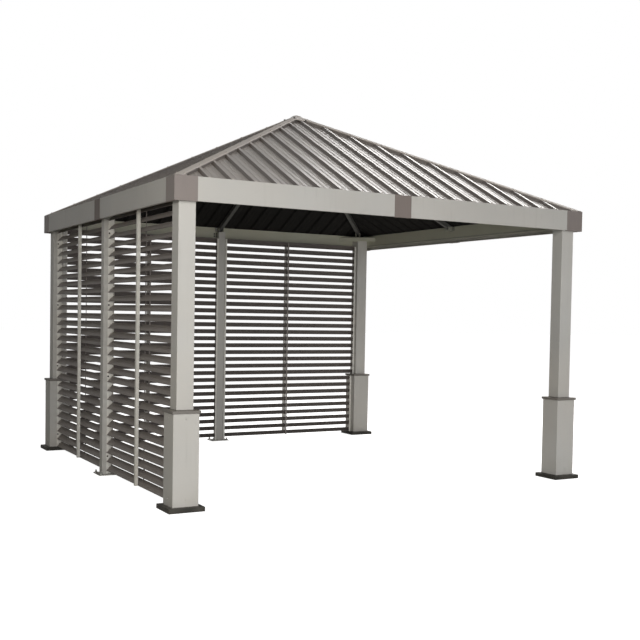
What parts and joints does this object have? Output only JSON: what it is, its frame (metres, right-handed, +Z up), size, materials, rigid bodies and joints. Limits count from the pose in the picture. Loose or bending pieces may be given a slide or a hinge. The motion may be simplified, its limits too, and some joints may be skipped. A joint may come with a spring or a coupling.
{
  "type": "metal gazebo with louvred walls",
  "caption": "Square open gazebo in coated metal: cased corner posts, ring of beams behind a deep fascia, ribbed hip roof and fixed louvre walls on two sides.",
  "frame": {"origin": "centre of the plan at ground level", "axes": "+X to the right along the open front, +Y towards the louvred back wall, +Z up"},
  "size_m": [3.697, 3.697, 3.1931],
  "materials": {
    "post": "satin powder coat, warm grey",
    "skirt_cap": "satin powder coat, dark grey",
    "base_plate": "matt powder coat, near black",
    "beam": "satin powder coat, olive grey",
    "fascia": "satin powder coat, warm light grey",
    "cover": "satin powder coat, taupe",
    "roof": "ribbed coated steel, taupe, low gloss",
    "roof_cap": "folded coated steel, light taupe",
    "rafter": "satin powder coat, dark grey",
    "louvre": "matt powder coat, charcoal"
  },
  "bodies": {
    "root": {"post_front_left": "post", "post_front_right": "post", "post_back_left": "post", "post_back_right": "post", "skirt_front_left": "post", "skirt_front_right": "post", "skirt_back_left": "post", "skirt_back_right": "post", "skirt_cap_front_left": "skirt_cap", "skirt_cap_front_right": "skirt_cap", "skirt_cap_back_left": "skirt_cap", "skirt_cap_back_right": "skirt_cap", "base_plate_front_left": "base_plate", "base_plate_front_right": "base_plate", "base_plate_back_left": "base_plate", "base_plate_back_right": "base_plate", "mid_post_left": "post", "mid_post_back": "post", "beam_front": "beam", "beam_right": "beam", "beam_back": "beam", "beam_left": "beam", "fascia_front": "fascia", "fascia_right": "fascia", "fascia_back": "fascia", "fascia_left": "fascia", "corner_cover_front_left": "cover", "corner_cover_front_right": "cover", "corner_cover_back_left": "cover", "corner_cover_back_right": "cover", "joint_covers": "cover", "roof_front": "roof", "roof_right": "roof", "roof_back": "roof", "roof_left": "roof", "hip_caps": "roof_cap", "peak_cap": "roof_cap", "hip_rafters": "rafter", "mid_rafters": "rafter", "rafter_hub": "rafter", "rafter_shoes": "beam", "corner_plates": "beam", "louvre_left_front": "louvre", "louvre_left_back": "louvre", "louvre_back_left": "louvre", "louvre_back_right": "louvre"}
  },
  "joints": []
}
